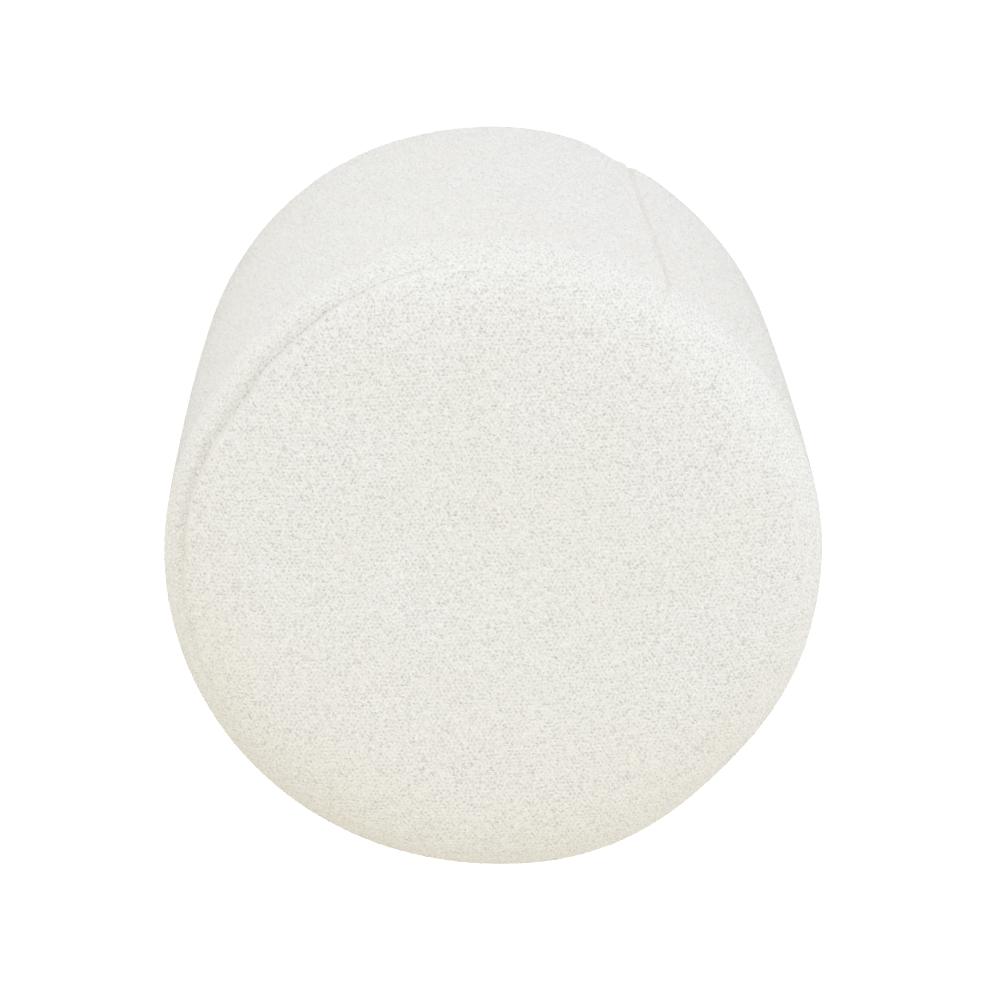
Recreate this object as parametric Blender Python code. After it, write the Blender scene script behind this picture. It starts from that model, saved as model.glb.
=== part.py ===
"""Round ottoman covered in looped cloth: a crowned seat panel, a filled wall band and a base panel.

The ottoman stands on its base panel. The origin is the centre of its underside, +Z is up, sizes are metres.
Every solid is turned about Z from a profile, then its outline is made uneven by the table FILLING.
"""
import math

import bmesh
import bpy

# Overall sizes
FULL_HEIGHT = 0.435
WIDEST_RADIUS = 0.230
SEAM_HEIGHT = 0.414          # where seat panel and wall band are sewn together
PANEL_GAP = 0.0003           # between two pieces that meet

# One rounding runs from the crown of the seat, over the seam ring, to the widest line of the wall
CROWN_RISE = 0.006
ROUNDING_POWER = 8.45        # how square the rounding is
SHOULDER_DROP = 0.0253       # from the seam height down to the widest line

# Seat panel
SEAM_RADIUS = 0.2147
SEAT_DEPTH = 0.035           # filling below the seam height
SEAT_FLAT_RADIUS = 0.012     # the level spot at the middle

# Valley of the seam ring: degrees round the ottoman, and metres below the rounding
SEAM_RING = (
    {"azimuth": 0.0, "valley": 0.0056},
    {"azimuth": 12.0, "valley": 0.0036},
    {"azimuth": 26.0, "valley": 0.0010},
    {"azimuth": 36.0, "valley": 0.0},
    {"azimuth": 278.0, "valley": 0.0},
    {"azimuth": 298.0, "valley": 0.0015},
    {"azimuth": 314.0, "valley": 0.0048},
    {"azimuth": 330.0, "valley": 0.0078},
    {"azimuth": 348.0, "valley": 0.0076},
    {"azimuth": 360.0, "valley": 0.0056},
)
VALLEY_OFFSET = 0.0010       # it is deepest this far outside the stitching,
VALLEY_SEAT_WIDTH = 0.0022   # steep on the seat's side
VALLEY_WALL_WIDTH = 0.0052   # and soft on the wall's side

# Wall band
LOWER_RADIUS = 0.2208
WALL_FULLNESS = 0.85         # 0 is a straight taper from widest to lower radius, 1 is upright at the top
FOOT_HEIGHT = 0.0253
FOOT_WIDTH = 0.0276
FOOT_LIFT = 0.0015           # the foot's sewn edge hangs this far above the surface

# Base panel
BASE_RADIUS = LOWER_RADIUS - FOOT_WIDTH
BASE_THICKNESS = 0.004

# Upright seam that closes the wall band: it leans as it rises, and hooks back just under the seam ring
WALL_SEAM_FOOT_AZIMUTH = math.radians(239.0)
WALL_SEAM_LEAN = math.radians(-3.4)
WALL_SEAM_HOOK = math.radians(0.4)
WALL_SEAM_HOOK_HEIGHT = 0.360
WALL_SEAM_DEPTH = 0.0020
WALL_SEAM_WIDTH = 0.0015
WALL_SEAM_END = 0.002        # the groove runs out this near to the seam ring
WALL_PUCKER_RISE = 0.0008    # the filling stands up again beside the stitches,
WALL_PUCKER_LEFT = 1.5       # more on one side, seen from outside,
WALL_PUCKER_RIGHT = 0.3      # than on the other,
WALL_PUCKER_LOWER = 1.6      # and on the left it grows by this share down to the foot
WALL_PUCKER_OFFSET = 0.005
WALL_PUCKER_WIDTH = 0.0045

# Uneven filling: degrees round the ottoman, degrees of spread, and metres of swell at the seam ring, at the
# shoulder and at the foot. A negative swell is a flat.
FILLING = (
    {"azimuth": 10.0, "spread": 12.0, "seam": 0.0016, "shoulder": 0.0, "foot": 0.0},
    {"azimuth": 106.0, "spread": 16.0, "seam": 0.0010, "shoulder": 0.0028, "foot": 0.0},
    {"azimuth": 134.0, "spread": 13.0, "seam": -0.0010, "shoulder": -0.0022, "foot": 0.0},
    {"azimuth": 160.0, "spread": 12.0, "seam": 0.0, "shoulder": 0.0010, "foot": 0.0},
    {"azimuth": 182.0, "spread": 13.0, "seam": 0.0, "shoulder": 0.0016, "foot": 0.0},
    {"azimuth": 215.0, "spread": 14.0, "seam": -0.0014, "shoulder": 0.0, "foot": -0.0013},
    {"azimuth": 232.0, "spread": 18.0, "seam": 0.0, "shoulder": 0.0, "foot": -0.0058},
    {"azimuth": 275.0, "spread": 16.0, "seam": 0.0018, "shoulder": 0.0, "foot": -0.0015},
    {"azimuth": 328.0, "spread": 15.0, "seam": -0.0022, "shoulder": -0.0026, "foot": 0.0},
)
FILLING_LOW = 0.25           # as shares of the seam height: only the foot column counts below the first,
FILLING_HIGH = 0.85          # only the shoulder column above the second
SEAT_FIRMNESS = 4.0          # how quickly the seam ring's unevenness dies away across the seat panel

# Facets
COLUMN_STEP = 5.0            # degrees
SEAM_COLUMN_OFFSETS = (0.0008, 0.0017, 0.0030, 0.0050, 0.0080, 0.0125)
SEAT_ROWS = (0.30, 0.50, 0.65, 0.76, 0.84, 0.90, 0.94, 0.965, 0.98, 0.99, 0.995, 1.0)
SHOULDER_ROWS = (0.0, 0.07, 0.15, 0.26, 0.38, 0.51, 0.64, 0.77, 0.88, 0.96, 1.0)
WALL_ROWS = 8
FOOT_ROWS = 5


def smooth_step(share):
    """Rises from 0 at share 0 to 1 at share 1, level at both ends."""
    share = min(max(share, 0.0), 1.0)
    return share * share * (3.0 - 2.0 * share)


def bell(distance, width):
    """1 in the middle, falling to nearly nothing two widths away."""
    return math.exp(-((distance / width) ** 2))


def turn_between(angle, middle):
    """The signed angle in radians from middle to angle, the short way round."""
    return (angle - middle + math.pi) % math.tau - math.pi


def filling_swell(azimuth, seam=0.0, shoulder=0.0, foot=0.0):
    """How far the uneven filling pushes outwards here, with a weight for each column of the table."""
    swell = 0.0
    for place in FILLING:
        away = turn_between(azimuth, math.radians(place["azimuth"]))
        here = bell(away, math.radians(place["spread"]))
        swell += here * (seam * place["seam"] + shoulder * place["shoulder"] + foot * place["foot"])
    return swell


def wall_seam_azimuth(height):
    """Where the upright seam runs at this height."""
    hook = smooth_step((height - WALL_SEAM_HOOK_HEIGHT) / (SEAM_HEIGHT - WALL_SEAM_HOOK_HEIGHT))
    return WALL_SEAM_FOOT_AZIMUTH + WALL_SEAM_LEAN * height / SEAM_HEIGHT + WALL_SEAM_HOOK * hook


def wall_seam_swell(azimuth, radius, height):
    """The groove of the upright seam, with the filling standing up again on both sides of it."""
    across = turn_between(azimuth, wall_seam_azimuth(height)) * radius
    groove = -WALL_SEAM_DEPTH * bell(across, WALL_SEAM_WIDTH)
    lower = 1.0 + WALL_PUCKER_LOWER * max(1.0 - height / SEAM_HEIGHT, 0.0)
    left = WALL_PUCKER_LEFT * lower * bell(across - WALL_PUCKER_OFFSET, WALL_PUCKER_WIDTH)
    right = WALL_PUCKER_RIGHT * bell(across + WALL_PUCKER_OFFSET, WALL_PUCKER_WIDTH)
    return groove + WALL_PUCKER_RISE * (left + right)


def even_columns():
    """Angles of evenly spaced columns, counted from the upright seam."""
    count = round(360.0 / COLUMN_STEP)
    return [math.tau * k / count for k in range(count)]


def wall_columns():
    """The even columns, with closer ones beside the upright seam."""
    beside = []
    for offset in SEAM_COLUMN_OFFSETS:
        beside.append(offset / WIDEST_RADIUS)
        beside.append(math.tau - offset / WIDEST_RADIUS)
    return sorted(even_columns() + beside)


def ring_start(height):
    """First column of the seat panel: it meets the upright seam at the seam ring."""
    return wall_seam_azimuth(SEAM_HEIGHT)


def foot_start(height):
    """First column of the base panel: it meets the upright seam under the foot."""
    return wall_seam_azimuth(0.0)


def quarter_turn(centre, reach, start, end, rows):
    """Points on a quarter of an ellipse, given as (radius, height), from angle start to end in degrees."""
    points = []
    for row in range(rows + 1):
        angle = math.radians(start + (end - start) * row / rows)
        points.append((centre[0] + reach[0] * math.cos(angle), centre[1] + reach[1] * math.sin(angle)))
    return points


def rounded_height(radius):
    """Height of the crown and the rounding here: nearly level inside, upright at the widest line."""
    share = min(radius / WIDEST_RADIUS, 1.0)
    low = SEAM_HEIGHT - SHOULDER_DROP
    rise = FULL_HEIGHT - CROWN_RISE * share ** 2 - low
    return low + rise * math.sqrt(1.0 - share ** ROUNDING_POWER)


def valley_depth(azimuth):
    """Depth of the seam ring's valley at this azimuth, blended straight between the rows of its table."""
    degrees = math.degrees(azimuth) % 360.0
    for before, after in zip(SEAM_RING, SEAM_RING[1:]):
        if degrees <= after["azimuth"]:
            share = (degrees - before["azimuth"]) / (after["azimuth"] - before["azimuth"])
            return before["valley"] + share * (after["valley"] - before["valley"])


def seam_dip(radius, azimuth):
    """How far the valley of the seam ring lies below the rounding."""
    past = radius - SEAM_RADIUS - VALLEY_OFFSET
    width = VALLEY_SEAT_WIDTH if past < 0.0 else VALLEY_WALL_WIDTH
    return valley_depth(azimuth) * bell(past, width)


def wall_radius(height):
    """Radius of the wall band between the foot and the widest line, rounding out as it rises."""
    share = (height - FOOT_HEIGHT) / (SEAM_HEIGHT - SHOULDER_DROP - FOOT_HEIGHT)
    rise = WIDEST_RADIUS - LOWER_RADIUS
    return LOWER_RADIUS + rise * share * (1.0 + WALL_FULLNESS * (1.0 - share))


def seat_profile():
    """From the middle of the seat outwards and down to the filling's underside: (radius, height)."""
    edge = SEAM_RADIUS - PANEL_GAP / 2.0
    profile = [(SEAT_FLAT_RADIUS, rounded_height(SEAT_FLAT_RADIUS))]
    for share in SEAT_ROWS:
        profile.append((edge * share, rounded_height(edge * share)))
    profile.append((edge, SEAM_HEIGHT - SEAT_DEPTH))
    return profile


def wall_profile():
    """From the seat's recess, over the shoulder, down the wall and under the foot."""
    recess_radius = SEAM_RADIUS + PANEL_GAP / 2.0
    widest_height = SEAM_HEIGHT - SHOULDER_DROP
    profile = [(recess_radius, SEAM_HEIGHT - SEAT_DEPTH - PANEL_GAP)]
    for share in SHOULDER_ROWS:
        radius = recess_radius + share * (WIDEST_RADIUS - recess_radius)
        profile.append((radius, rounded_height(radius)))
    for row in range(1, WALL_ROWS + 1):
        height = widest_height + (FOOT_HEIGHT - widest_height) * row / WALL_ROWS
        profile.append((wall_radius(height), height))
    foot_centre = (LOWER_RADIUS - FOOT_WIDTH, FOOT_HEIGHT)
    profile += quarter_turn(foot_centre, (FOOT_WIDTH, FOOT_HEIGHT - FOOT_LIFT), 0.0, -90.0, FOOT_ROWS)[1:]
    profile.append((foot_centre[0], BASE_THICKNESS + PANEL_GAP))
    return profile


def base_profile():
    """The flat panel under the wall band, its rim eased on the upper and lower side."""
    rim = BASE_RADIUS - PANEL_GAP
    ease = BASE_THICKNESS / 4.0
    return [
        (rim - ease, BASE_THICKNESS),
        (rim, BASE_THICKNESS - ease),
        (rim, ease),
        (rim - ease, 0.0),
    ]


def wall_place(radius, height, azimuth):
    """Radius and height of the wall band at this azimuth, with its filling and its seams."""
    low = SEAM_HEIGHT - SHOULDER_DROP
    if height < FOOT_HEIGHT:
        groove_share = smooth_step((radius - BASE_RADIUS) / FOOT_WIDTH)
        swell = filling_swell(azimuth, foot=groove_share)
    elif height >= low or radius <= SEAM_RADIUS + PANEL_GAP:
        groove_share = smooth_step((radius - SEAM_RADIUS) / WALL_SEAM_END)
        free = smooth_step((radius - SEAM_RADIUS) / (WIDEST_RADIUS - SEAM_RADIUS))
        swell = filling_swell(azimuth, seam=1.0 - free, shoulder=free)
    else:
        groove_share = 1.0
        upper = smooth_step((height / SEAM_HEIGHT - FILLING_LOW) / (FILLING_HIGH - FILLING_LOW))
        swell = filling_swell(azimuth, shoulder=upper, foot=1.0 - upper)
    reach = radius + swell + groove_share * wall_seam_swell(azimuth, radius, height)
    sunk = seam_dip(radius, azimuth) if height > low else 0.0
    return reach, height - sunk


def seat_place(radius, height, azimuth):
    """Radius and height of the seat panel at this azimuth: its edge follows the seam ring."""
    share = (radius / SEAM_RADIUS) ** SEAT_FIRMNESS
    sunk = seam_dip(radius, azimuth) if height > SEAM_HEIGHT - SHOULDER_DROP else 0.0
    return radius + share * filling_swell(azimuth, seam=1.0), height - sunk


def base_place(radius, height, azimuth):
    """A true circle, level all round."""
    return radius, height


def turned_solid(name, profile, columns, start, place, material):
    """Turns a profile about Z, one ring of points for each of its rows, and closes it with a fan at each end.

    start gives the azimuth of the first column at a height, and place the radius and height at an azimuth.
    """
    mesh = bmesh.new()
    rings = []
    for radius, height in profile:
        ring = []
        for column in columns:
            azimuth = start(height) + column
            reach, level = place(radius, height, azimuth)
            ring.append(mesh.verts.new((reach * math.cos(azimuth), reach * math.sin(azimuth), level)))
        rings.append(ring)
    top = mesh.verts.new((0.0, 0.0, profile[0][1]))
    bottom = mesh.verts.new((0.0, 0.0, profile[-1][1]))
    count = len(columns)
    for k in range(count):
        after = (k + 1) % count
        mesh.faces.new((top, rings[0][k], rings[0][after]))
        mesh.faces.new((bottom, rings[-1][after], rings[-1][k]))
        for upper, lower in zip(rings, rings[1:]):
            mesh.faces.new((upper[k], lower[k], lower[after], upper[after]))
    bmesh.ops.recalc_face_normals(mesh, faces=mesh.faces)
    data = bpy.data.meshes.new(name)
    mesh.to_mesh(data)
    mesh.free()
    data.shade_smooth()
    data.set_sharp_from_angle(angle=math.radians(40.0))
    data.materials.append(material)
    solid = bpy.data.objects.new(name, data)
    bpy.context.scene.collection.objects.link(solid)
    return solid


def cloth_material(name, colour, roughness):
    """A plain cloth finish."""
    material = bpy.data.materials.new(name)
    material.use_nodes = True
    shader = material.node_tree.nodes["Principled BSDF"]
    shader.inputs["Base Color"].default_value = (*colour, 1.0)
    shader.inputs["Roughness"].default_value = roughness
    shader.inputs["Metallic"].default_value = 0.0
    return material


def main():
    for old in list(bpy.data.objects):
        bpy.data.objects.remove(old)
    seat_cloth = cloth_material("seat_looped_cloth", (0.80, 0.78, 0.74), 0.95)
    wall_cloth = cloth_material("wall_looped_cloth", (0.82, 0.80, 0.77), 0.95)
    base_cloth = cloth_material("base_plain_cloth", (0.70, 0.68, 0.64), 0.9)
    turned_solid("seat_panel", seat_profile(), even_columns(), ring_start, seat_place, seat_cloth)
    turned_solid("wall_band", wall_profile(), wall_columns(), wall_seam_azimuth, wall_place, wall_cloth)
    turned_solid("base_panel", base_profile(), even_columns(), foot_start, base_place, base_cloth)


main()
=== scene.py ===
"""Looks of a round ottoman covered in looped off-white cloth.

Every new piece is a surface worked out with numpy. The seat panel and the wall band are closed covers,
each turned from a profile and pushed in or out by its filling and its seams. Their pile is made of many
small bent loops of yarn, spread evenly over each cover. Sizes are metres, +Z is up.
"""
import math
import bpy
import numpy as np
from mathutils import Matrix, Vector


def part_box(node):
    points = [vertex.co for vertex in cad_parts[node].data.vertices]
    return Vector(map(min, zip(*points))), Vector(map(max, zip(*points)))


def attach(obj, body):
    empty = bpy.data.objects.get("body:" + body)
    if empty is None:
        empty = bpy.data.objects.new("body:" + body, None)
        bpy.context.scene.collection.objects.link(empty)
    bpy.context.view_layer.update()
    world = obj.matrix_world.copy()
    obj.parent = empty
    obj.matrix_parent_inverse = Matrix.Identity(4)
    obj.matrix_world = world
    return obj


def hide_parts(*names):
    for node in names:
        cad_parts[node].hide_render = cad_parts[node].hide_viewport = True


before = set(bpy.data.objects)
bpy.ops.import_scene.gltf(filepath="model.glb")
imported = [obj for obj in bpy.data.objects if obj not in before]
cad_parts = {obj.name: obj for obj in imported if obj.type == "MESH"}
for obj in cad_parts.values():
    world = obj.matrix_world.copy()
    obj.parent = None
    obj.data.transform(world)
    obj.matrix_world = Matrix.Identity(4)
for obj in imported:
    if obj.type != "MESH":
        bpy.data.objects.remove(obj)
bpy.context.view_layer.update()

# Sizes read from the frame
SEAT_LOW, SEAT_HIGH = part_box("seat_panel")
BASE_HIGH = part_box("base_panel")[1]
FULL_HEIGHT = SEAT_HIGH.z
BASE_RADIUS = BASE_HIGH.x

# Sizes of the covers, as in the part's source
WIDEST_RADIUS = 0.230
SEAM_HEIGHT = 0.414
SEAM_RADIUS = 0.2147
CROWN_RISE = 0.006
SHOULDER_DROP = 0.0253
WIDEST_HEIGHT = SEAM_HEIGHT - SHOULDER_DROP
ROUNDING_POWER = 8.45        # how square the seat's rounding is
SHOULDER_LIP = 0.002         # the upright seam's groove runs out this near to the seam ring
LOWER_RADIUS = 0.2208
WALL_FULLNESS = 0.85         # how far the wall swells past a straight line from its foot to its widest place
FOOT_HEIGHT = 0.0253
FOOT_WIDTH = 0.0276
FOOT_LIFT = 0.0015
PANEL_GAP = 0.0003
PILE_ROOM = 0.0007           # the ground cloth lies this far inside the cushion's outline, the pile fills it
GROUND_TOP = FULL_HEIGHT - PILE_ROOM
FIRM_FILL = 0.9

# Uneven filling: degrees round the ottoman, degrees of spread, metres of swell at three levels
FILLING = (
    {"azimuth": 10.0, "spread": 12.0, "seam": 0.0016, "shoulder": 0.0, "foot": 0.0},
    {"azimuth": 106.0, "spread": 16.0, "seam": 0.0010, "shoulder": 0.0028, "foot": 0.0},
    {"azimuth": 134.0, "spread": 13.0, "seam": -0.0010, "shoulder": -0.0022, "foot": 0.0},
    {"azimuth": 160.0, "spread": 12.0, "seam": 0.0, "shoulder": 0.0010, "foot": 0.0},
    {"azimuth": 182.0, "spread": 13.0, "seam": 0.0, "shoulder": 0.0016, "foot": 0.0},
    {"azimuth": 215.0, "spread": 14.0, "seam": -0.0014, "shoulder": 0.0, "foot": -0.0013},
    {"azimuth": 232.0, "spread": 18.0, "seam": 0.0, "shoulder": 0.0, "foot": -0.0027},
    {"azimuth": 241.5, "spread": 5.0, "seam": 0.0, "shoulder": 0.0, "foot": -0.0030},
    {"azimuth": 275.0, "spread": 16.0, "seam": 0.0018, "shoulder": 0.0, "foot": -0.0015},
    {"azimuth": 308.0, "spread": 10.0, "seam": -0.0030, "shoulder": 0.0, "foot": 0.0},
    {"azimuth": 325.0, "spread": 11.0, "seam": -0.0062, "shoulder": 0.0, "foot": 0.0},
    {"azimuth": 328.0, "spread": 15.0, "seam": 0.0, "shoulder": -0.0026, "foot": 0.0},
)
FILLING_LOW = 0.25           # shares of the seam's height: the foot's swell holds up to the first,
FILLING_HIGH = 0.85          # and the shoulder's from the second
SEAT_FIRMNESS = 4.0          # the seat takes up the seam's swell with this power of its share of the radius

# Upright seam of the wall band
WALL_SEAM_FOOT_AZIMUTH = math.radians(239.0)
WALL_SEAM_LEAN = math.radians(-3.2)
WALL_SEAM_HOOK = math.radians(0.2)
WALL_SEAM_HOOK_HEIGHT = 0.360
WALL_SEAM_DEPTH = 0.0025
WALL_SEAM_WIDTH = 0.0017
WALL_PUCKER_RISE = 0.0008
WALL_PUCKER_LEFT = 0.9       # the ridge is higher on the side of the growing azimuth, the render's left,
WALL_PUCKER_RIGHT = 0.3      # than on the other side
WALL_PUCKER_OFFSET = 0.005
WALL_PUCKER_WIDTH = 0.0045

SEWN_WAVER = 0.0007          # how far both sewn lines stray to either side
SEWN_WAVES = (               # two sine waves that do not repeat together
    {"share": 0.6, "waves": 23.0, "start": 0.0},
    {"share": 0.4, "waves": 41.0, "start": 1.0},
)
UPRIGHT_WAVES = 2.0          # the upright seam strays this many times as often as the seam ring

# The seam ring: degrees round the ottoman, metres of its soft valley and of the thin crease at the stitching
SEAM_RING = (
    {"azimuth": 0.0, "valley": 0.0056, "crease": 0.0},
    {"azimuth": 12.0, "valley": 0.0036, "crease": 0.0},
    {"azimuth": 26.0, "valley": 0.0010, "crease": 0.0},
    {"azimuth": 36.0, "valley": 0.0, "crease": 0.0},
    {"azimuth": 162.0, "valley": 0.0, "crease": 0.0},
    {"azimuth": 180.0, "valley": 0.0, "crease": 0.0008},
    {"azimuth": 215.0, "valley": 0.0, "crease": 0.0009},
    {"azimuth": 226.0, "valley": 0.0, "crease": 0.0},
    {"azimuth": 268.0, "valley": 0.0, "crease": 0.0},
    {"azimuth": 278.0, "valley": 0.0, "crease": 0.0017},
    {"azimuth": 298.0, "valley": 0.0030, "crease": 0.0016},
    {"azimuth": 314.0, "valley": 0.0066, "crease": 0.0009},
    {"azimuth": 330.0, "valley": 0.0078, "crease": 0.0003},
    {"azimuth": 348.0, "valley": 0.0076, "crease": 0.0002},
)
CREASE_WIDTH = 0.0012
CREASE_FULL = 0.0016         # a crease this deep keeps the pile off it
VALLEY_FULL = 0.0045         # but the pile covers the crease where the valley is this deep
VALLEY_OFFSET = 0.0003       # the valley is deepest this far outside the stitching
VALLEY_SEAT_WIDTH = 0.0016   # it is steep on the seat's side and soft on the wall's side
VALLEY_WALL_WIDTH = 0.0054
RIM_RISE = 0.05              # the seat's rim rises by this share of the valley's depth
RIM_OFFSET = 0.0065
RIM_WIDTH = 0.0040

# Points of the profiles, and rows and columns of the covers
SEAT_PROFILE_POINTS = 400
SHOULDER_PROFILE_POINTS = 60
SIDE_PROFILE_POINTS = 60
FOOT_PROFILE_STEPS = 40
SEAM_ROWS_REACH = 0.009      # both covers have their closest rows this near to the seam ring
SEAM_ROW_STEP = 0.0006
SHOULDER_ROW_STEP = 0.0012   # rows are close where the wall curves, so that the loops lie on the ground cloth
SIDE_ROW_STEP = 0.0062
FOOT_ROW_STEP = 0.0030
SEAT_ROW_STEP = 0.004
SEAT_COLUMNS = 360
WALL_COLUMNS = 440
WALL_SEAM_COLUMNS = (-2.8, -2.1, -1.5, -1.0, -0.6, -0.3, 0.0)    # degrees to one side of the upright seam
BASE_COLUMNS = 180
BASE_RIM_STEPS = 4
SHARP_ANGLE = math.radians(50.0)

# Pile: pitch, length, width and height over width of the loops, how far they are sunk into the ground, the
# places of a loop's rings of points in half lengths, and the number of meshes
SEAT_PILE = {
    "pitch": 0.0033, "length": 0.0038, "width": 0.0028, "flatness": 0.24, "sunk": 0.00018,
    "rings": (-0.42, 0.42), "sectors": 2, "seed": 11,
}
WALL_PILE = {
    "pitch": 0.0034, "length": 0.0040, "width": 0.0029, "flatness": 0.46, "sunk": 0.00022,
    "rings": (0.0,), "sectors": 4, "seed": 21,
}
LOOP_SIDES = 4
LOOP_LENGTHS = (0.8, 1.2)    # the loops vary between these shares of their length,
LOOP_WIDTHS = (0.85, 1.15)   # these of their width,
RING_WIDTHS = (0.8, 1.15)    # and these of a loop's own width at each ring
LOOP_BEND = 0.15             # how far a loop's middle bends to either side, in widths
SUNK_SPREAD = 0.00008        # the loops stand this much higher or lower
TIP_DIP = 0.0003             # how far the loops' tips dip into the ground cloth
PILE_SCATTER = 0.10          # how far a loop strays from its lattice, in pitches
ROW_SHARE = math.sqrt(0.75)  # distance of the lattice's rows, in pitches
FIRST_ROW = 0.4              # the wall's first row of loops lies this share of a row below the seam ring
DISC_STEPS = 2000            # steps of the sum that flattens the crowned seat
DISC_MARGIN = 2              # the seat's lattice reaches this many pitches past it
CLEAR_OF_SEAM = 0.0011       # no loop is centred nearer than this to a stitched line
SEAM_NEAR = 0.0020           # loops nearer than this to a stitched line lie along it,
SEAM_FAR = 0.0045            # and past this they lie any way
NARROWER = 0.35              # the loops along a stitched line are narrower by this share

# Small steps that give a surface's normals and tangents
PROBE_STEP = 0.0002
PROBE_RADIUS = 0.2           # about the ottoman's radius: it turns the step into an angle
LEAST_DOWN = 0.5             # a surface is taken to have at least these metres for a unit of length,
LEAST_ALONG = 0.0076         # and for a radian, which near the seat's middle keeps a loop from turning round
NOT_ZERO = 1e-12

# Yarn: colours of its tops, of its broad patches and of the painted shade in its hollows, metres of the
# grain's height, and the height of the soft lumps beside it
SEAT_YARN = {
    "light": (0.88, 0.865, 0.80), "patch": (0.88, 0.86, 0.775), "painted_hollow_shade": (0.715, 0.695, 0.625),
    "grain": 0.0014, "lumps": 0.4,
}
WALL_YARN = {
    "light": (0.89, 0.875, 0.81), "patch": (0.89, 0.868, 0.82), "painted_hollow_shade": (0.78, 0.765, 0.70),
    "grain": 0.0016, "lumps": 1.6,
}
GROUND_YARN = {
    "light": (0.89, 0.875, 0.81), "patch": (0.88, 0.86, 0.775), "painted_hollow_shade": (0.78, 0.765, 0.70),
    "grain": 0.0008, "lumps": 0.8,
}
PATCH_SCALE = 11.0
PATCH_DETAIL = 2.0
PATCH_LOW = 0.35
PATCH_HIGH = 0.65
GRAIN_SCALE = 600.0
LUMP_SCALE = 150.0
FIBRE_SCALE = 1500.0
YARN_DETAIL = 1.0
FIBRE_SHARE = 0.35           # height of the single fibres beside that of the grain
HOLLOW_HEIGHT = 0.52         # of grain and fibres together: below this the yarn takes its darker colour, painted shade in its hollows
TOP_HEIGHT = 0.86
HOLLOW_ROUGHNESS = 1.0
TOP_ROUGHNESS = 0.86
YARN_SPECULAR = 0.2
YARN_SHEEN = 0.25
SHEEN_ROUGHNESS = 0.6

# Plain weave of the base panel
WEAVE_COLOUR = (0.70, 0.68, 0.64)
WEAVE_SHADE = 0.85           # painted shade: brightness between its threads, beside that of their tops
WEAVE_SCALE = 160.0
WEAVE_DISTORTION = 0.6
WEAVE_DEPTH = 0.0004
WEAVE_STRENGTH = 0.5
WEAVE_ROUGHNESS = 0.9

# Light: a small key, and a dome that runs from dim and warm to bright and cool along one direction
KEY_PLACE = (-0.42, -1.96, 3.67)
KEY_SIZE = 2.0
KEY_POWER = 3.6
DOME_DIRECTION = (-0.337, -0.877, 0.342)
DOME_COLOURS = (
    (0.36, 0.20, 0.0), (0.515, 0.45, 0.29), (0.85, 0.872, 0.885), (0.825, 0.86, 0.953), (0.77, 0.76, 0.81),
)
DOME_STRENGTH = 1.37
FLOOR_REACH = 6.0
FLOOR_COLOUR = (0.93, 0.93, 0.93)
FLOOR_GLOW = 0.07            # the floor's own light on the ottoman,
FLOOR_WHITE = 0.40           # and towards the camera, so that it stays white in the ottoman's shade

# Camera: on the -Y side, high above the seat, turned by half a turn so that the wall shows above the seat
CAMERA_ELEVATION = math.radians(72.78)
CAMERA_DISTANCE = 4.14
CAMERA_ROLL = math.radians(1.85)
CAMERA_REACH = 50.0
FOCAL_LENGTH_MM = 204.0
SENSOR_WIDTH_MM = 36.0
AIM_HEIGHT = 0.207
FRAMING_RIGHT = 0.00719
FRAMING_UP = -0.01658


def smooth_step(share):
    """Rises from 0 at share 0 to 1 at share 1, level at both ends."""
    share = np.clip(share, 0.0, 1.0)
    return share * share * (3.0 - 2.0 * share)


def bell(distance, width):
    """1 in the middle, falling to nearly nothing two widths away."""
    return np.exp(-((distance / width) ** 2))


def turn_between(angle, middle):
    """The signed angle from middle to angle, the short way round."""
    return (angle - middle + math.pi) % math.tau - math.pi


def waver(turns):
    """Slow hand-sewn unevenness in -1..1 along a line: the sum of the sewn line's sine waves."""
    return sum(wave["share"] * np.sin(wave["waves"] * turns + wave["start"]) for wave in SEWN_WAVES)


def filling_swell(azimuth, seam, shoulder, foot):
    """Sum of the table's bells round the ottoman, with a weight for each of its three levels."""
    swell = np.zeros_like(azimuth)
    for place in FILLING:
        away = turn_between(azimuth, math.radians(place["azimuth"]))
        here = bell(away, math.radians(place["spread"]))
        swell += here * (seam * place["seam"] + shoulder * place["shoulder"] + foot * place["foot"])
    return swell + seam * SEWN_WAVER * waver(azimuth)


def wall_seam_azimuth(height):
    """Where the upright seam runs at this height: a straight lean and a small hook under the seam ring."""
    hook = smooth_step((height - WALL_SEAM_HOOK_HEIGHT) / (SEAM_HEIGHT - WALL_SEAM_HOOK_HEIGHT))
    straight = WALL_SEAM_FOOT_AZIMUTH + WALL_SEAM_LEAN * height / SEAM_HEIGHT
    stray = SEWN_WAVER / WIDEST_RADIUS * waver(height / WIDEST_RADIUS * UPRIGHT_WAVES)
    return straight + WALL_SEAM_HOOK * hook + stray


def wall_seam_swell(azimuth, radius, height):
    """A narrow groove along the upright seam, with a soft ridge on each side, one higher than the other."""
    across = turn_between(azimuth, wall_seam_azimuth(height)) * radius
    groove = -WALL_SEAM_DEPTH * bell(across, WALL_SEAM_WIDTH)
    left = bell(across - WALL_PUCKER_OFFSET, WALL_PUCKER_WIDTH)
    right = bell(across + WALL_PUCKER_OFFSET, WALL_PUCKER_WIDTH)
    pucker = WALL_PUCKER_RISE * (WALL_PUCKER_LEFT * left + WALL_PUCKER_RIGHT * right)
    return groove + pucker


def quarter_turn(centre, reach, start, end, steps):
    """Points on a quarter of an ellipse, given as (radius, height), from angle start to end in degrees."""
    angle = np.radians(np.linspace(start, end, steps + 1))
    return np.column_stack((centre[0] + reach[0] * np.cos(angle), centre[1] + reach[1] * np.sin(angle)))


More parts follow.
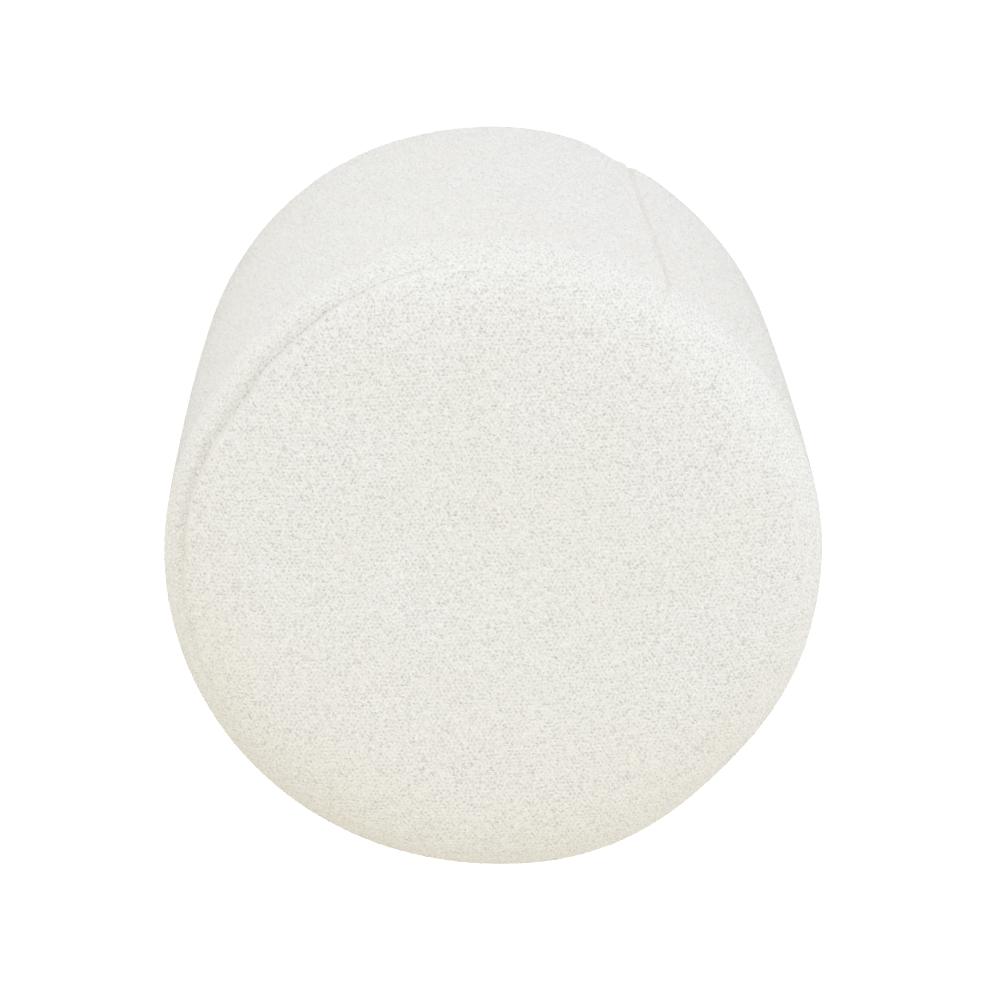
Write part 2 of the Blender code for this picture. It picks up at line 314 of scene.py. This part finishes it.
class Profile:
    """A line of points, read at any length along it by straight blending."""

    def __init__(self, points):
        self.points = points
        steps = np.hypot(*np.diff(points, axis=0).T)
        self.lengths = np.concatenate(([0.0], np.cumsum(steps)))
        self.length = self.lengths[-1]

    def at(self, length):
        """Radius and height at this length along the line."""
        radius = np.interp(length, self.lengths, self.points[:, 0])
        height = np.interp(length, self.lengths, self.points[:, 1])
        return radius, height

    def length_down_to(self, height):
        """Length along a line that runs downwards at which it reaches this height."""
        return np.interp(-height, -self.points[:, 1], self.lengths)


def rounded_height(share):
    """Height of the seat's crown and square rounding at this share of the widest radius.

    The crown falls with the share squared. The rounding is the root of one less the share raised to a high
    power, so that the top is nearly level and meets the wall upright.
    """
    rise = GROUND_TOP - CROWN_RISE * share ** 2 - WIDEST_HEIGHT
    return WIDEST_HEIGHT + rise * np.sqrt(np.maximum(1.0 - share ** ROUNDING_POWER, 0.0))


def seat_top_profile():
    """From the middle of the seat to the seam: the crown and the first part of the rounding."""
    radius = SEAM_RADIUS * np.sin(np.linspace(0.0, math.pi / 2.0, SEAT_PROFILE_POINTS))
    return np.column_stack((radius, rounded_height(radius / WIDEST_RADIUS)))


def wall_side_profile():
    """From the seam over the rest of the rounding, down the wall and under the foot.

    The rounding's points are even in how upright it is. The wall's radius grows from the foot's as a line
    with a flat arc on it, and the foot is a quarter of an ellipse.
    """
    first_upright = math.sqrt(1.0 - (SEAM_RADIUS / WIDEST_RADIUS) ** ROUNDING_POWER)
    upright = np.linspace(first_upright, 0.0, SHOULDER_PROFILE_POINTS)
    share = (1.0 - upright ** 2) ** (1.0 / ROUNDING_POWER)
    radius = share * WIDEST_RADIUS
    inward = PILE_ROOM * (radius - SEAM_RADIUS) / (WIDEST_RADIUS - SEAM_RADIUS)
    shoulder = np.column_stack((radius - inward, rounded_height(share)))
    height = np.linspace(WIDEST_HEIGHT, FOOT_HEIGHT, SIDE_PROFILE_POINTS)
    up = (height - FOOT_HEIGHT) / (WIDEST_HEIGHT - FOOT_HEIGHT)
    spread = WIDEST_RADIUS - LOWER_RADIUS
    radius = LOWER_RADIUS - PILE_ROOM + spread * up * (1.0 + WALL_FULLNESS * (1.0 - up))
    side = np.column_stack((radius, height))
    foot_centre = (LOWER_RADIUS - FOOT_WIDTH, FOOT_HEIGHT)
    foot_reach = (FOOT_WIDTH - PILE_ROOM, FOOT_HEIGHT - FOOT_LIFT - PILE_ROOM)
    foot = quarter_turn(foot_centre, foot_reach, 0.0, -90.0, FOOT_PROFILE_STEPS)
    return np.concatenate((shoulder, side[1:], foot[1:]))


SEAT_TOP = Profile(seat_top_profile())
WALL_SIDE = Profile(wall_side_profile())
WALL_SHOULDER_END = WALL_SIDE.length_down_to(WIDEST_HEIGHT)
WALL_FOOT_START = WALL_SIDE.length_down_to(FOOT_HEIGHT)


def seam_ring(azimuth, column):
    """A column of the seam ring's table at this azimuth, blended straight between its rows."""
    places = [row["azimuth"] for row in SEAM_RING]
    values = [row[column] for row in SEAM_RING]
    return np.interp(np.degrees(azimuth), places, values, period=360.0)


def seam_dip(radius, azimuth):
    """How far the seam ring lies under the rounding: its valley and thin crease, less the rise of the rim."""
    outside = radius - SEAM_RADIUS
    past = outside - VALLEY_OFFSET
    valley = bell(past, np.where(past < 0.0, VALLEY_SEAT_WIDTH, VALLEY_WALL_WIDTH))
    valley -= RIM_RISE * bell(outside + RIM_OFFSET, RIM_WIDTH)
    crease = bell(outside, CREASE_WIDTH)
    return seam_ring(azimuth, "valley") * valley + seam_ring(azimuth, "crease") * crease


def crease_share(azimuth):
    """1 where the seam ring is a crease that keeps the pile off it, 0 where it is soft or has none."""
    soft = smooth_step(seam_ring(azimuth, "valley") / VALLEY_FULL)
    return smooth_step(seam_ring(azimuth, "crease") / CREASE_FULL) * (1.0 - soft)


def seat_surface(length, azimuth):
    """Point of the seat panel at this length along its profile and this azimuth."""
    radius, height = SEAT_TOP.at(length)
    share = (radius / SEAM_RADIUS) ** SEAT_FIRMNESS
    reach = radius + share * filling_swell(azimuth, 1.0, 0.0, 0.0)
    height = height - seam_dip(radius, azimuth)
    return np.column_stack((reach * np.cos(azimuth), reach * np.sin(azimuth), height))


def wall_surface(length, azimuth):
    """Point of the wall band at this length along its profile and this azimuth, with filling and seam."""
    radius, height = WALL_SIDE.at(length)
    on_top = length < WALL_SHOULDER_END
    in_foot = height < FOOT_HEIGHT
    out = smooth_step((radius - SEAM_RADIUS) / (WIDEST_RADIUS - SEAM_RADIUS))
    under = smooth_step((radius - BASE_RADIUS) / FOOT_WIDTH)
    upper = smooth_step((height / SEAM_HEIGHT - FILLING_LOW) / (FILLING_HIGH - FILLING_LOW))
    seam = np.where(on_top, 1.0 - out, 0.0)
    shoulder = np.where(on_top, out, np.where(in_foot, 0.0, upper))
    foot = np.where(on_top, 0.0, np.where(in_foot, under, 1.0 - upper))
    lip_share = smooth_step((radius - SEAM_RADIUS) / SHOULDER_LIP)
    groove = np.where(on_top, lip_share, np.where(in_foot, under, 1.0))
    reach = radius + filling_swell(azimuth, seam, shoulder, foot)
    reach += groove * wall_seam_swell(azimuth, radius, height)
    height = height - np.where(on_top, seam_dip(radius, azimuth), 0.0)
    return np.column_stack((reach * np.cos(azimuth), reach * np.sin(azimuth), height))


def add_object(name, data):
    """Puts a mesh, a light or a camera into the scene."""
    thing = bpy.data.objects.new(name, data)
    bpy.context.scene.collection.objects.link(thing)
    return thing


def grid_mesh(name, rows, closed_start, closed_end):
    """Joins rings of points, all of one count, with quads, and closes the first and last with a fan."""
    count = rows.shape[1]
    points = rows.reshape(-1, 3)
    ring = np.arange(count)
    after = (ring + 1) % count
    faces = []
    for k in range(rows.shape[0] - 1):
        upper = k * count
        lower = upper + count
        quads = np.column_stack((upper + ring, lower + ring, lower + after, upper + after))
        faces.extend(quads.tolist())
    first = len(points)
    last = first + 1
    points = np.concatenate((points, [closed_start], [closed_end]))
    end = (rows.shape[0] - 1) * count
    faces.extend(np.column_stack((np.full(count, first), ring, after)).tolist())
    faces.extend(np.column_stack((np.full(count, last), end + after, end + ring)).tolist())
    data = bpy.data.meshes.new(name)
    data.from_pydata(points.tolist(), [], faces)
    data.shade_smooth()
    data.set_sharp_from_angle(angle=SHARP_ANGLE)
    return add_object(name, data)


def surface_rows(surface, lengths, columns):
    """Rings of points on a surface, one for each length along its profile, at the azimuths in its columns."""
    length_grid = np.repeat(lengths, columns.shape[1])
    return surface(length_grid, columns.ravel()).reshape(len(lengths), columns.shape[1], 3)


def spaced(start, end, step):
    """Evenly spaced values from start up to, but not at, end, no further apart than step."""
    return np.linspace(start, end, max(2, math.ceil((end - start) / step)), endpoint=False)


def even_azimuths(count):
    """This many azimuths round the ottoman."""
    return np.arange(count) * (math.tau / count)


def seat_cover():
    """The seat panel's ground cloth: its top, with closer rows at the seam, and a flat underside."""
    near = SEAT_TOP.length - SEAM_ROWS_REACH
    lengths = np.concatenate((
        spaced(SEAT_ROW_STEP, near, SEAT_ROW_STEP),
        spaced(near, SEAT_TOP.length, SEAM_ROW_STEP),
        [SEAT_TOP.length],
    ))
    columns = np.tile(even_azimuths(SEAT_COLUMNS), (len(lengths), 1))
    rows = surface_rows(seat_surface, lengths, columns)
    under = rows[-1:].copy()
    under[:, :, 2] = SEAT_LOW.z
    rows = np.concatenate((rows, under))
    return grid_mesh("seat_cover", rows, (0.0, 0.0, GROUND_TOP), (0.0, 0.0, SEAT_LOW.z))


def wall_columns(lengths):
    """Azimuths of the wall's columns for each row: even ones, and close ones that follow the leaning seam."""
    offsets = np.array(WALL_SEAM_COLUMNS)
    offsets = np.radians(np.concatenate((offsets, -offsets[-2::-1])))
    first, last = offsets[-1], math.tau + offsets[0]
    even = np.linspace(first, last, WALL_COLUMNS)[1:-1]
    pattern = np.concatenate((offsets, even))
    height = WALL_SIDE.at(lengths)[1]
    return wall_seam_azimuth(height)[:, None] + pattern[None, :]


def wall_cover():
    """The wall band's ground cloth, closed by the seat's recess above and by the base's recess below."""
    lengths = np.concatenate((
        spaced(0.0, SEAM_ROWS_REACH, SEAM_ROW_STEP),
        spaced(SEAM_ROWS_REACH, WALL_SHOULDER_END, SHOULDER_ROW_STEP),
        spaced(WALL_SHOULDER_END, WALL_FOOT_START, SIDE_ROW_STEP),
        spaced(WALL_FOOT_START, WALL_SIDE.length, FOOT_ROW_STEP),
        [WALL_SIDE.length],
    ))
    rows = surface_rows(wall_surface, lengths, wall_columns(lengths))
    recess_height = SEAT_LOW.z - PANEL_GAP
    under_height = BASE_HIGH.z + PANEL_GAP
    recess = rows[:1].copy()
    recess[:, :, 2] = recess_height
    under = rows[-1:].copy()
    under[:, :, 2] = under_height
    rows = np.concatenate((recess, rows, under))
    return grid_mesh("wall_cover", rows, (0.0, 0.0, recess_height), (0.0, 0.0, under_height))


def base_cover():
    """The flat base panel with an eased rim."""
    thickness = BASE_HIGH.z
    ease = thickness / 3
    inner = BASE_RADIUS - ease
    upper = quarter_turn((inner, thickness * 2 / 3), (ease, ease), 90.0, 0.0, BASE_RIM_STEPS)
    lower = quarter_turn((inner, ease), (ease, ease), 0.0, -90.0, BASE_RIM_STEPS)
    outline = np.concatenate((upper, lower))
    azimuth = even_azimuths(BASE_COLUMNS)
    rows = np.empty((len(outline), BASE_COLUMNS, 3))
    rows[:, :, 0] = outline[:, :1] * np.cos(azimuth)
    rows[:, :, 1] = outline[:, :1] * np.sin(azimuth)
    rows[:, :, 2] = outline[:, 1:]
    return grid_mesh("base_cover", rows, (0.0, 0.0, thickness), (0.0, 0.0, 0.0))


def seat_places():
    """Length and azimuth of each loop on the seat: a six-sided lattice on a flat disc of the same area.

    The disc's radius at a length along the profile is the root of twice the integral of radius over length,
    so that equal areas of the disc are equal areas of the crowned panel.
    """
    pitch = SEAT_PILE["pitch"]
    lengths = np.linspace(0.0, SEAT_TOP.length, DISC_STEPS)
    radius = SEAT_TOP.at(lengths)[0]
    steps = np.diff(lengths) * (radius[1:] + radius[:-1]) / 2.0
    disc_radius = np.sqrt(2.0 * np.concatenate(([0.0], np.cumsum(steps))))
    columns = int(disc_radius[-1] / pitch) + DISC_MARGIN
    rows = int(disc_radius[-1] / (pitch * ROW_SHARE)) + DISC_MARGIN
    across, along = np.meshgrid(np.arange(-columns, columns + 1), np.arange(-rows, rows + 1))
    rng = np.random.default_rng(SEAT_PILE["seed"])
    x = (across + 0.5 * (along % 2)).ravel() + rng.normal(0.0, PILE_SCATTER, across.size)
    y = along.ravel() * ROW_SHARE + rng.normal(0.0, PILE_SCATTER, across.size)
    flat = np.hypot(x, y) * pitch
    inside = flat < disc_radius[-1]
    length = np.interp(flat[inside], disc_radius, lengths)
    azimuth = np.arctan2(y[inside], x[inside]) % math.tau
    clear = SEAT_TOP.length - length > CLEAR_OF_SEAM * crease_share(azimuth)
    return length[clear], azimuth[clear]


def wall_places():
    """Length and azimuth of each loop on the wall: a six-sided lattice wrapped round its mean radius."""
    pitch = WALL_PILE["pitch"]
    columns = round(math.tau * (WIDEST_RADIUS + LOWER_RADIUS) / 2.0 / pitch)
    rows = int(WALL_SIDE.length / (pitch * ROW_SHARE))
    column, row = np.meshgrid(np.arange(columns), np.arange(rows))
    rng = np.random.default_rng(WALL_PILE["seed"])
    turn = (column + 0.5 * (row % 2)).ravel() + rng.normal(0.0, PILE_SCATTER, column.size)
    length = (row.ravel() + FIRST_ROW + rng.normal(0.0, PILE_SCATTER, row.size)) * WALL_SIDE.length / rows
    length = np.clip(length, 0.0, WALL_SIDE.length)
    azimuth = turn * math.tau / columns % math.tau
    radius, height = WALL_SIDE.at(length)
    across = np.abs(turn_between(azimuth, wall_seam_azimuth(height)) * radius)
    clear = length > CLEAR_OF_SEAM * crease_share(azimuth)
    clear &= across > CLEAR_OF_SEAM
    return length[clear], azimuth[clear]


def nearness(distance):
    """1 for loops right beside a stitched line, 0 for those well away from it."""
    return smooth_step((SEAM_FAR - distance) / (SEAM_FAR - SEAM_NEAR))


def seat_seam_shares(length, azimuth):
    """How far each loop on the seat turns along the seam ring, and none along an upright seam."""
    away = SEAT_TOP.length - length
    return nearness(away) * crease_share(azimuth), np.zeros_like(away)


def wall_seam_shares(length, azimuth):
    """How far each loop on the wall turns along the seam ring, and along the upright seam."""
    radius, height = WALL_SIDE.at(length)
    across = turn_between(azimuth, wall_seam_azimuth(height)) * radius
    return nearness(length) * crease_share(azimuth), nearness(np.abs(across))


def surface_frame(surface, length, azimuth):
    """Outward normals and two tangents of a surface, and its metres for each unit of length and of azimuth.

    All of them come from small central differences.
    """
    turn_step = PROBE_STEP / PROBE_RADIUS
    down = surface(length + PROBE_STEP, azimuth) - surface(length - PROBE_STEP, azimuth)
    along = surface(length, azimuth + turn_step) - surface(length, azimuth - turn_step)
    down_size = np.linalg.norm(down, axis=1)
    along_size = np.linalg.norm(along, axis=1)
    down /= down_size[:, None] + NOT_ZERO
    normal = np.cross(down, along)
    normal /= np.linalg.norm(normal, axis=1)[:, None] + NOT_ZERO
    along = np.cross(normal, down)
    metres_down = np.maximum(down_size / (2.0 * PROBE_STEP), LEAST_DOWN)
    metres_along = np.maximum(along_size / (2.0 * turn_step), LEAST_ALONG)
    return normal, down, along, metres_down, metres_along


def tube_pattern(rings, sides):
    """Triangles of one short tube with pointed ends: its first tip, its rings of points, and its last tip."""
    pattern = []
    last_tip = 1 + rings * sides
    for side in range(sides):
        here, beside = 1 + side, 1 + (side + 1) % sides
        pattern.append((0, beside, here))
        for ring in range(1, rings):
            there, beyond = here + sides, beside + sides
            pattern.append((here, beyond, there))
            pattern.append((here, beside, beyond))
            here, beside = there, beyond
        pattern.append((last_tip, here, beside))
    return np.array(pattern)


def loops_mesh(name, surface, length, azimuth, near_seam, pile, seed):
    """Pile: each loop is a short bent tube, one array of (loop, point, coordinate) for all of them.

    It follows the surface: its tips dip into the ground cloth, and its rings of points stand off it and step
    sideways, so that it curls. Its heading is random, but near a seam it turns towards the seam's direction.
    """
    rng = np.random.default_rng(seed)
    count = len(length)
    normal, down, along, metres_down, metres_along = surface_frame(surface, length, azimuth)
    heading = rng.uniform(0.0, math.tau, count)
    ring_share, upright_share = near_seam
    heading = heading * (1.0 - ring_share) * (1.0 - upright_share) + upright_share * math.pi / 2.0
    forward = np.cos(heading)[:, None] * along + np.sin(heading)[:, None] * down
    side = np.cross(normal, forward)
    reach = pile["length"] * rng.uniform(*LOOP_LENGTHS, count) / 2.0
    width = pile["width"] * rng.uniform(*LOOP_WIDTHS, count) / 2.0
    stand = rng.uniform(-SUNK_SPREAD, SUNK_SPREAD, count) - pile["sunk"]
    width *= 1.0 - NARROWER * np.maximum(ring_share, upright_share)
    angles = np.arange(LOOP_SIDES) * (math.tau / LOOP_SIDES) + math.pi / 2.0

    def on_surface(ahead, aside):
        """The surface's point this far along the loop's heading and to its side."""
        step_down = ahead * np.sin(heading) - aside * np.cos(heading)
        step_along = ahead * np.cos(heading) + aside * np.sin(heading)
        return surface(length + step_down / metres_down, azimuth + step_along / metres_along)

    parts = [on_surface(-reach, 0.0) - normal * TIP_DIP]
    for place in pile["rings"]:
        bend = rng.uniform(-LOOP_BEND, LOOP_BEND, count) * pile["width"]
        middle = on_surface(place * reach, bend) + normal * stand[:, None]
        swell = width * rng.uniform(*RING_WIDTHS, count)
        for angle in angles:
            outward = side * math.cos(angle) + normal * (pile["flatness"] * math.sin(angle))
            parts.append(middle + outward * swell[:, None])
    parts.append(on_surface(reach, 0.0) - normal * TIP_DIP)
    points = np.stack(parts, axis=1)
    per_loop = points.shape[1]
    pattern = tube_pattern(len(pile["rings"]), LOOP_SIDES)
    faces = (np.arange(count) * per_loop)[:, None, None] + pattern[None]
    faces = faces.reshape(-1, 3)
    data = bpy.data.meshes.new(name)
    data.vertices.add(count * per_loop)
    data.vertices.foreach_set("co", points.ravel())
    data.loops.add(faces.size)
    data.loops.foreach_set("vertex_index", faces.ravel())
    data.polygons.add(len(faces))
    data.polygons.foreach_set("loop_start", np.arange(0, faces.size, 3))
    data.update(calc_edges=True)
    data.shade_smooth()
    return add_object(name, data)


def pile_meshes(name, surface, places, seam_shares, pile):
    """A cover's pile, in as many meshes as it has sectors."""
    length, azimuth = places
    sector = (azimuth / math.tau * pile["sectors"]).astype(int)
    made = []
    for k in range(pile["sectors"]):
        place = (length[sector == k], azimuth[sector == k])
        seed = pile["seed"] + 1 + k
        made.append(loops_mesh(f"{name}_{k + 1}", surface, *place, seam_shares(*place), pile, seed))
    return made


def noise_node(tree, coordinates, scale, detail, location):
    """A noise texture on these coordinates."""
    node = tree.nodes.new("ShaderNodeTexNoise")
    node.location = location
    node.inputs["Scale"].default_value = scale
    node.inputs["Detail"].default_value = detail
    tree.links.new(coordinates, node.inputs["Vector"])
    return node


def mix_colours(tree, share, first, second, location):
    """A colour mix whose two colours and share are sockets."""
    node = tree.nodes.new("ShaderNodeMix")
    node.data_type = "RGBA"
    node.location = location
    tree.links.new(share, node.inputs["Factor"])
    tree.links.new(first, node.inputs["A"])
    tree.links.new(second, node.inputs["B"])
    return node.outputs["Result"]


def map_range(tree, value, low, high, new_low, new_high, location):
    """Stretches a value from one range to another, clamped."""
    node = tree.nodes.new("ShaderNodeMapRange")
    node.location = location
    node.inputs["From Min"].default_value = low
    node.inputs["From Max"].default_value = high
    node.inputs["To Min"].default_value = new_low
    node.inputs["To Max"].default_value = new_high
    tree.links.new(value, node.inputs["Value"])
    return node.outputs["Result"]


def yarn_group():
    """Node group of the looped yarn: broad patches of a second colour, painted shade in the hollows, lumps
    and fibres.
    """
    tree = bpy.data.node_groups.new("looped_yarn", "ShaderNodeTree")
    inputs = (
        ("Light Colour", "NodeSocketColor"),
        ("Patch Colour", "NodeSocketColor"),
        ("Painted Hollow Shade", "NodeSocketColor"),
        ("Lumps", "NodeSocketFloat"),
    )
    for name, kind in inputs:
        tree.interface.new_socket(name, in_out="INPUT", socket_type=kind)
    tree.interface.new_socket("Colour", in_out="OUTPUT", socket_type="NodeSocketColor")
    tree.interface.new_socket("Height", in_out="OUTPUT", socket_type="NodeSocketFloat")
    tree.interface.new_socket("Roughness", in_out="OUTPUT", socket_type="NodeSocketFloat")
    given = tree.nodes.new("NodeGroupInput")
    given.location = (-900, 200)
    made = tree.nodes.new("NodeGroupOutput")
    made.location = (700, 0)
    coordinates = tree.nodes.new("ShaderNodeTexCoord")
    coordinates.location = (-1100, -200)
    place = coordinates.outputs["Object"]
    patches = noise_node(tree, place, PATCH_SCALE, PATCH_DETAIL, (-800, 0))
    grain = noise_node(tree, place, GRAIN_SCALE, YARN_DETAIL, (-800, -500))
    lumps = noise_node(tree, place, LUMP_SCALE, YARN_DETAIL, (-800, -1000))
    fibres = noise_node(tree, place, FIBRE_SCALE, YARN_DETAIL, (-800, -750))
    patch_share = map_range(tree, patches.outputs["Fac"], PATCH_LOW, PATCH_HIGH, 0.0, 1.0, (-550, 0))
    broad = mix_colours(
        tree, patch_share, given.outputs["Light Colour"], given.outputs["Patch Colour"], (-250, 150)
    )
    relief = tree.nodes.new("ShaderNodeMath")
    relief.operation = "MULTIPLY_ADD"
    relief.location = (-250, -500)
    relief.inputs[1].default_value = FIBRE_SHARE
    tree.links.new(fibres.outputs["Fac"], relief.inputs[0])
    tree.links.new(grain.outputs["Fac"], relief.inputs[2])
    uneven = tree.nodes.new("ShaderNodeMath")
    uneven.operation = "MULTIPLY_ADD"
    uneven.location = (-50, -700)
    tree.links.new(given.outputs["Lumps"], uneven.inputs[1])
    tree.links.new(lumps.outputs["Fac"], uneven.inputs[0])
    tree.links.new(relief.outputs[0], uneven.inputs[2])
    height = relief.outputs[0]
    # painted shade: where grain and fibres are low, the colour darkens towards the hollow colour, as shadow
    # in the yarn's hollows
    painted_shade_share = map_range(tree, height, HOLLOW_HEIGHT, TOP_HEIGHT, 1.0, 0.0, (-50, -250))
    fine = mix_colours(tree, painted_shade_share, broad, given.outputs["Painted Hollow Shade"], (250, 100))
    rough = map_range(
        tree, height, HOLLOW_HEIGHT, TOP_HEIGHT, HOLLOW_ROUGHNESS, TOP_ROUGHNESS, (250, -200)
    )
    tree.links.new(fine, made.inputs["Colour"])
    tree.links.new(uneven.outputs[0], made.inputs["Height"])
    tree.links.new(rough, made.inputs["Roughness"])
    return tree


def new_material(name):
    """A material with nodes, and its tree and shader."""
    material = bpy.data.materials.new(name)
    material.use_nodes = True
    return material, material.node_tree, material.node_tree.nodes["Principled BSDF"]


def yarn_material(name, group, yarn):
    """Looped yarn of one piece: the group's colour and roughness, its height as bump, and a soft sheen."""
    material, tree, shader = new_material(name)
    looped = tree.nodes.new("ShaderNodeGroup")
    looped.node_tree = group
    looped.location = (-600, 200)
    looped.inputs["Light Colour"].default_value = (*yarn["light"], 1.0)
    looped.inputs["Patch Colour"].default_value = (*yarn["patch"], 1.0)
    # the hollow colour is painted shade for the yarn's hollows
    looped.inputs["Painted Hollow Shade"].default_value = (*yarn["painted_hollow_shade"], 1.0)
    looped.inputs["Lumps"].default_value = yarn["lumps"]
    bump = tree.nodes.new("ShaderNodeBump")
    bump.location = (-300, -150)
    bump.inputs["Strength"].default_value = 1.0
    bump.inputs["Distance"].default_value = yarn["grain"]
    tree.links.new(looped.outputs["Height"], bump.inputs["Height"])
    tree.links.new(looped.outputs["Colour"], shader.inputs["Base Color"])
    tree.links.new(looped.outputs["Roughness"], shader.inputs["Roughness"])
    tree.links.new(bump.outputs["Normal"], shader.inputs["Normal"])
    shader.inputs["Specular IOR Level"].default_value = YARN_SPECULAR
    shader.inputs["Sheen Weight"].default_value = YARN_SHEEN
    shader.inputs["Sheen Roughness"].default_value = SHEEN_ROUGHNESS
    return material


def weave_material(name, colour):
    """Plain close weave: two crossed sets of waves as bump, with painted shade between the threads."""
    material, tree, shader = new_material(name)
    coordinates = tree.nodes.new("ShaderNodeTexCoord")
    heights = []
    for row, direction in enumerate(("X", "Y")):
        wave = tree.nodes.new("ShaderNodeTexWave")
        wave.bands_direction = direction
        wave.location = (-900, -250 * row)
        wave.inputs["Scale"].default_value = WEAVE_SCALE
        wave.inputs["Distortion"].default_value = WEAVE_DISTORTION
        tree.links.new(coordinates.outputs["Object"], wave.inputs["Vector"])
        heights.append(wave.outputs["Fac"])
    crossed = tree.nodes.new("ShaderNodeMath")
    crossed.operation = "MAXIMUM"
    tree.links.new(heights[0], crossed.inputs[0])
    tree.links.new(heights[1], crossed.inputs[1])
    bump = tree.nodes.new("ShaderNodeBump")
    bump.inputs["Strength"].default_value = WEAVE_STRENGTH
    bump.inputs["Distance"].default_value = WEAVE_DEPTH
    tree.links.new(crossed.outputs[0], bump.inputs["Height"])
    tree.links.new(bump.outputs["Normal"], shader.inputs["Normal"])
    # painted shade: the weave's colour darkens where its threads dip
    ramp = tree.nodes.new("ShaderNodeValToRGB")
    ramp.color_ramp.elements[0].color = (*[c * WEAVE_SHADE for c in colour], 1.0)
    ramp.color_ramp.elements[1].color = (*colour, 1.0)
    tree.links.new(crossed.outputs[0], ramp.inputs["Fac"])
    tree.links.new(ramp.outputs["Color"], shader.inputs["Base Color"])
    shader.inputs["Roughness"].default_value = WEAVE_ROUGHNESS
    return material


def dress():
    """Makes the covers and their pile, gives them their materials, and ties them to the frame."""
    group = yarn_group()
    seat_yarn = yarn_material("seat_yarn", group, SEAT_YARN)
    wall_yarn = yarn_material("wall_yarn", group, WALL_YARN)
    ground = yarn_material("ground_cloth", group, GROUND_YARN)
    base_weave = weave_material("base_weave", WEAVE_COLOUR)
    covers = (
        (seat_cover(), "seat_panel", "seat_cloth", ground, FIRM_FILL),
        (wall_cover(), "wall_band", "wall_cloth", ground, FIRM_FILL),
        (base_cover(), "base_panel", "base_cloth", base_weave, None),
    )
    for piece, node, slot, material, fill in covers:
        piece.data.materials.append(material)
        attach(piece, "root")
        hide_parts(node)
    seat_loops = pile_meshes("seat_loops", seat_surface, seat_places(), seat_seam_shares, SEAT_PILE)
    wall_loops = pile_meshes("wall_loops", wall_surface, wall_places(), wall_seam_shares, WALL_PILE)
    piles = ((seat_loops, "seat_cloth", seat_yarn), (wall_loops, "wall_cloth", wall_yarn))
    for pieces, slot, material in piles:
        for piece in pieces:
            piece.data.materials.append(material)
            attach(piece, "root")


def floor():
    """A wide pale floor, which glows a little more towards the camera than it does on the ottoman."""
    data = bpy.data.meshes.new("floor")
    near, far = -FLOOR_REACH, FLOOR_REACH
    corners = [(near, near, 0.0), (far, near, 0.0), (far, far, 0.0), (near, far, 0.0)]
    data.from_pydata(corners, [], [(0, 1, 2, 3)])
    material, tree, shader = new_material("floor_pale")
    shader.inputs["Base Color"].default_value = (*FLOOR_COLOUR, 1.0)
    shader.inputs["Roughness"].default_value = 1.0
    shader.inputs["Specular IOR Level"].default_value = 0.0
    shader.inputs["Emission Color"].default_value = (1.0, 1.0, 1.0, 1.0)
    rays = tree.nodes.new("ShaderNodeLightPath")
    seen = rays.outputs["Is Camera Ray"]
    glow = map_range(tree, seen, 0.0, 1.0, FLOOR_GLOW, FLOOR_WHITE, (-300, 0))
    tree.links.new(glow, shader.inputs["Emission Strength"])
    data.materials.append(material)
    piece = add_object("floor", data)


def area_light(name, place, size, power):
    """A square soft light that looks at the middle of the ottoman."""
    data = bpy.data.lights.new(name, "AREA")
    data.shape = "SQUARE"
    data.size = size
    data.energy = power
    lamp = add_object(name, data)
    lamp.location = place
    towards = Vector((0.0, 0.0, AIM_HEIGHT)) - Vector(place)
    lamp.rotation_euler = towards.to_track_quat("-Z", "Y").to_euler()


def lights():
    """A small soft key light, and a pale dome that is brighter on the key's side and warmer away from it."""
    area_light("key", KEY_PLACE, KEY_SIZE, KEY_POWER)
    world = bpy.data.worlds.new("dome")
    world.use_nodes = True
    tree = world.node_tree
    direction = tree.nodes.new("ShaderNodeTexCoord")
    towards = tree.nodes.new("ShaderNodeVectorMath")
    towards.operation = "DOT_PRODUCT"
    towards.inputs[1].default_value = DOME_DIRECTION
    share = map_range(tree, towards.outputs["Value"], -1.0, 1.0, 0.0, 1.0, (-400, 0))
    ramp = tree.nodes.new("ShaderNodeValToRGB")
    last = len(DOME_COLOURS) - 1
    for k in range(1, last):
        ramp.color_ramp.elements.new(k / last)
    for element, colour in zip(ramp.color_ramp.elements, DOME_COLOURS):
        element.color = (*colour, 1.0)
    background = tree.nodes["Background"]
    background.inputs["Strength"].default_value = DOME_STRENGTH
    tree.links.new(direction.outputs["Generated"], towards.inputs[0])
    tree.links.new(share, ramp.inputs["Fac"])
    tree.links.new(ramp.outputs["Color"], background.inputs["Color"])
    bpy.context.scene.world = world
    bpy.context.scene.view_settings.view_transform = "Standard"


def camera():
    """Looks down at the seat from the -Y side, rolled by half a turn and a little more."""
    back = Vector((0.0, -math.cos(CAMERA_ELEVATION), math.sin(CAMERA_ELEVATION)))
    level_right = Vector((-1.0, 0.0, 0.0))
    level_up = level_right.cross(-back)
    right = math.cos(CAMERA_ROLL) * level_right - math.sin(CAMERA_ROLL) * level_up
    up = math.sin(CAMERA_ROLL) * level_right + math.cos(CAMERA_ROLL) * level_up
    middle = Vector((0.0, 0.0, AIM_HEIGHT))
    place = middle + back * CAMERA_DISTANCE + right * FRAMING_RIGHT + up * FRAMING_UP
    data = bpy.data.cameras.new("camera")
    data.lens = FOCAL_LENGTH_MM
    data.sensor_width = SENSOR_WIDTH_MM
    data.clip_end = CAMERA_REACH
    eye = add_object("camera", data)
    turn = Matrix((right, up, back)).transposed()
    eye.matrix_world = Matrix.Translation(place) @ turn.to_4x4()
    bpy.context.scene.camera = eye


camera()
lights()
floor()
dress()
